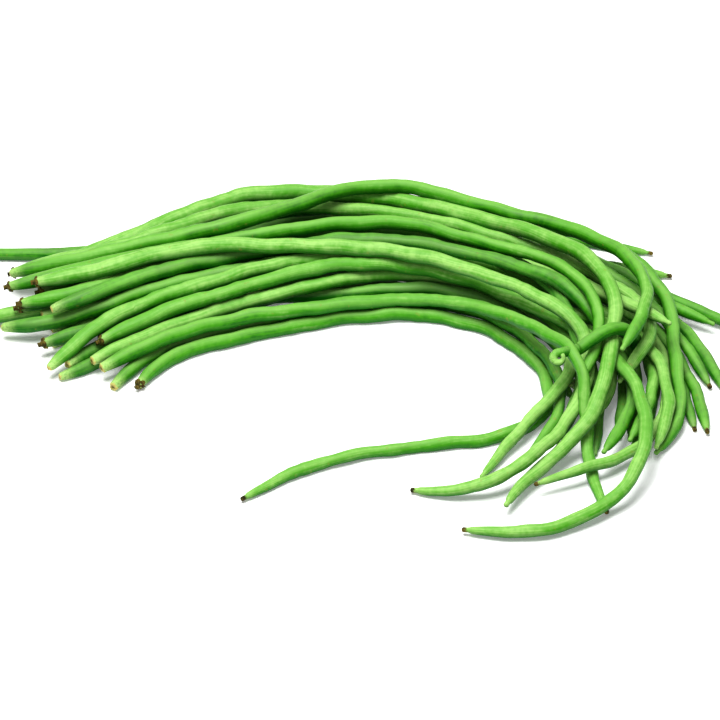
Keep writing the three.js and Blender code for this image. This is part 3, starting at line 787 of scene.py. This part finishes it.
def pod_skin():
    """Satin green skin that follows the pod from stalk to nib."""
    n = Recipe("pod_skin")
    place = n.add("ShaderNodeTexCoord").outputs["Object"]
    from_stem, to_tip = n.value("from_stem"), n.value("to_tip")
    turn, tone = n.value("turn"), n.value("tone")
    streaks, blotches = skin_patterns(n, from_stem, turn, tone)
    grain = n.noise(place, GRAIN, 2.0)
    green = skin_green(n, place, from_stem, to_tip, tone, streaks, blotches, grain)
    brown = n.mix(n.ramp(n.noise(place, BROWN_PATCHES), 0.35, 0.65), DARK_BROWN, DRY_BROWN)
    at_nib = n.ramp(n.total(to_tip, n.ramp(grain, *SPREAD, -0.7, 0.7)), 3.6, 1.9)
    dried = n.math("MAXIMUM", n.value("dry"), at_nib)
    rough = n.total(n.ramp(blotches, *SPREAD, 0.44, 0.56), n.times(dried, 0.35))
    dents = n.times(n.noise(place, DENTS, 2.0), 0.4)
    height = n.total(n.times(streaks, 0.5), n.times(grain, 0.22), dents)
    bump_sockets = [("Strength", 0.35), ("Distance", 0.25 * MM), ("Height", height)]
    bump = n.add("ShaderNodeBump", bump_sockets)
    shader_sockets = [
        ("Base Color", n.mix(dried, green, brown)),
        ("Roughness", rough),
        ("Normal", bump.outputs[0]),
        ("IOR", 1.25),
        ("Subsurface Weight", 0.06),
        ("Subsurface Scale", 1.5 * MM),
        ("Subsurface Radius", (0.5, 1.0, 0.25)),
    ]
    shader = n.add("ShaderNodeBsdfPrincipled", shader_sockets)
    n.add("ShaderNodeOutputMaterial", [("Surface", shader.outputs[0])])
    return n.material


skin_material = pod_skin()
print("nodes of the pod skin:", len(skin_material.node_tree.nodes))

# %% [markdown]
# ## Every pod in turn
#
# The bunch could be a few pods repeated, but no two bend alike. So each is built on the line of
# its own solid, which it replaces, and draws from random numbers of its own: a change to one pod
# leaves the next as it is. The straight pod at the back hardly wanders. The two pods over the top
# and the tie are a little fuller than their solids.

# %% Build every pod
FIRST_SEED = 100
STRAIGHT = {"bean_far_left": 0.15}
FULLER = {"bean_crossing": 1.09, "bean_outline_high": 1.12, "tie_bean": 1.10}

triangles = 0
for number, (name, (points, full)) in enumerate(pods.items()):
    rng = np.random.default_rng(FIRST_SEED + number)
    kind = END_KINDS.get(name) or (CUP, SNAPPED, PLAIN)[rng.integers(3)]
    line = curled(points) if name == "tie_bean" else points
    taper_length = LONG_TAPER if name in LONG_TIPS else SHORT_TAPER
    wander = STRAIGHT.get(name, 1.0)
    tone = tone_of(name, rng)
    full = full * FULLER.get(name, 1.0)
    piece = build_pod(name, line, full, kind, taper_length, wander, tone, rng)
    piece.data.materials.append(skin_material)
    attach(piece, "root")
    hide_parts(name)
    triangles += sum(len(face.vertices) - 2 for face in piece.data.polygons)
print("triangles:", triangles)

# %% [markdown]
# ## The table
#
# The picture's ground is plain and nearly white, with a faint shadow close to the pods. A white
# sheet under strong lamps would give that, but it would also burn out the pods. A large pale
# plane that glows a little, like a lit studio table, gives the same with softer light.

# %% Floor
FLOOR_HALF = 4.0
FLOOR_WHITE = (0.97, 0.97, 0.97, 1)
FLOOR_ROUGHNESS = 0.9
FLOOR_GLOW = 0.16


def floor():
    """A level square under the pods."""
    corners = FLOOR_HALF / MM * np.array([(-1, -1, 0), (1, -1, 0), (1, 1, 0), (-1, 1, 0)])
    piece = put_in_scene("floor", corners, [(0, 1, 2, 3)], {})
    n = Recipe("floor")
    floor_sockets = [
        ("Base Color", FLOOR_WHITE),
        ("Roughness", FLOOR_ROUGHNESS),
        ("Emission Color", FLOOR_WHITE),
        ("Emission Strength", FLOOR_GLOW),
    ]
    shader = n.add("ShaderNodeBsdfPrincipled", floor_sockets)
    n.add("ShaderNodeOutputMaterial", [("Surface", shader.outputs[0])])
    piece.data.materials.append(n.material)


floor()
print("floor, m:", 2 * FLOOR_HALF, "square")

# %% [markdown]
# ## Light
#
# One broad lamp high above gives the highlights along the tops of the pods and leaves the
# crevices between them dark, and the skin adds a painted highlight on each pod's top and painted
# shade on its low side. A weak lamp in front and a soft white sky lift the sides a little. A
# small lamp would be simpler, but its shadows would be hard. The plain view transform keeps the
# greens as vivid as the material says.

# %% Lamps and sky
# Name, place in metres, width in metres, power in watts.
LAMPS = (
    ("key", (-0.25, -0.1, 2.0), 1.2, 60),
    ("front", (0.4, -1.8, 1.2), 1.0, 5),
)
SKY_WHITE = (1, 1, 1, 1)
SKY_STRENGTH = 0.20


def lamp(name, place, size, power):
    """A square area lamp that looks at the bunch."""
    data = bpy.data.lights.new(name, "AREA")
    data.size = size
    data.energy = power
    piece = bpy.data.objects.new(name, data)
    piece.location = place
    piece.rotation_euler = (-Vector(place)).to_track_quat("-Z", "Y").to_euler()
    bpy.context.scene.collection.objects.link(piece)


for lamp_settings in LAMPS:
    lamp(*lamp_settings)
world = bpy.data.worlds.new("sky")
bpy.context.scene.world = world
world.use_nodes = True
sky = world.node_tree.nodes["Background"].inputs
sky["Color"].default_value = SKY_WHITE
sky["Strength"].default_value = SKY_STRENGTH
view = bpy.context.scene.view_settings
view.view_transform = "Standard"
view.gamma = 0.92
view.exposure = 0.05
print("lamps:", [settings[0] for settings in LAMPS], "sky:", SKY_STRENGTH)

# %% [markdown]
# ## Camera
#
# The picture has almost no perspective, so a long lens looks from far away, down at 38 degrees
# from the front. A parallel view could do it too, but a real lens keeps the slight narrowing
# towards the back. The lens is as long as it takes to see 720 pixels of 0.55 mm each.

# %% Camera
DISTANCE = 5.0
PICTURE_PIXELS = 720
MM_PER_PIXEL = 0.55
FRAME_WIDTH = MM_PER_PIXEL * PICTURE_PIXELS * MM
SENSOR = 36.0
AIM = Vector((3.00, 7.40, 0.0)) * MM

camera = bpy.data.cameras.new("camera")
camera.sensor_width = SENSOR
camera.lens = SENSOR * DISTANCE / FRAME_WIDTH
viewer = bpy.data.objects.new("camera", camera)
viewer.location = AIM - Vector(SIGHT) * DISTANCE
viewer.rotation_euler = (math.pi / 2 - TILT, 0, 0)
bpy.context.scene.collection.objects.link(viewer)
bpy.context.scene.camera = viewer
print("lens, mm:", round(camera.lens, 1))
